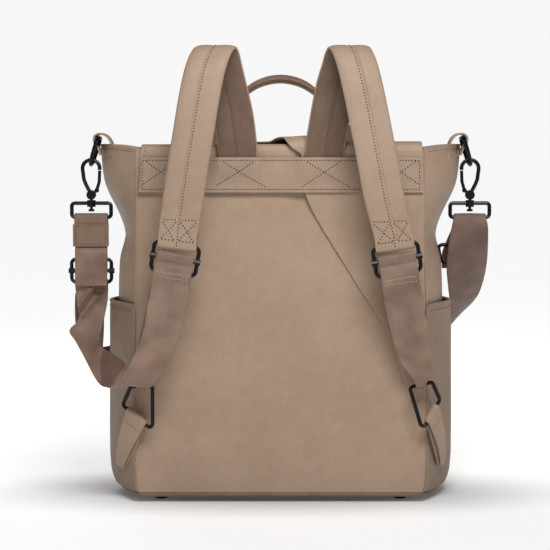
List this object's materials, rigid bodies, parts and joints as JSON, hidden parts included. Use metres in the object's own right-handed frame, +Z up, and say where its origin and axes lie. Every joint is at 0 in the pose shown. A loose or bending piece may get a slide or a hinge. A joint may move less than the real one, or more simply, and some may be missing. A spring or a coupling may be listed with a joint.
{
  "type": "convertible backpack",
  "caption": "Hollow soft leather backpack with a wrapped open top, padded shoulder straps, side pockets, a top handle and crossbody webbing on snap hooks.",
  "frame": {"origin": "centre of the bounding box on the floor under the feet", "axes": "+Z up, -Y the strap side that lies on the wearer's back, +X to the right when looking at the strap side"},
  "size_m": [0.4316, 0.235, 0.4558],
  "materials": {
    "leather": "fine grain, soft sheen",
    "webbing": "twill weave",
    "hardware": "near black, satin"
  },
  "bodies": {
    "bag": {"bag_body": "leather", "base_panel": "leather", "side_pocket_left": "leather", "side_pocket_right": "leather", "top_flap": "leather", "wrap_flap": "leather", "yoke_band": "leather", "shoulder_strap_left": "leather", "shoulder_strap_right": "leather", "handle": "leather", "ring_tab_left": "leather", "ring_tab_right": "leather", "lower_tab_left": "leather", "lower_tab_right": "leather", "crossbody_tab": "leather", "shoulder_webbing_left": "webbing", "shoulder_webbing_right": "webbing", "crossbody_web_left": "webbing", "crossbody_band_left": "webbing", "crossbody_band_right": "webbing", "shoulder_slider_left": "hardware", "shoulder_slider_right": "hardware", "crossbody_slider_left": "hardware", "lower_ring_left": "hardware", "lower_ring_right": "hardware", "d_ring_left": "hardware", "d_ring_right": "hardware", "hook_left": "hardware", "hook_right": "hardware", "hook_base_left": "hardware", "hook_base_right": "hardware", "foot_near_left": "hardware", "foot_near_right": "hardware", "foot_far_left": "hardware", "foot_far_right": "hardware"},
    "gate_left": {"hook_gate_left": "hardware"},
    "gate_right": {"hook_gate_right": "hardware"}
  },
  "joints": [
    {"name": "gate_left_hinge", "type": "hinge", "parent": "bag", "child": "gate_left", "pos_m": [-0.18657, -0.01482, 0.3136], "axis": [0, -1, 0], "range_deg": [0, 22], "stiffness_Nm_per_rad": 0.01, "springref_deg": -9.74},
    {"name": "gate_right_hinge", "type": "hinge", "parent": "bag", "child": "gate_right", "pos_m": [0.18823, -0.01482, 0.3136], "axis": [0, 1, 0], "range_deg": [0, 22], "stiffness_Nm_per_rad": 0.01, "springref_deg": -9.74}
  ]
}
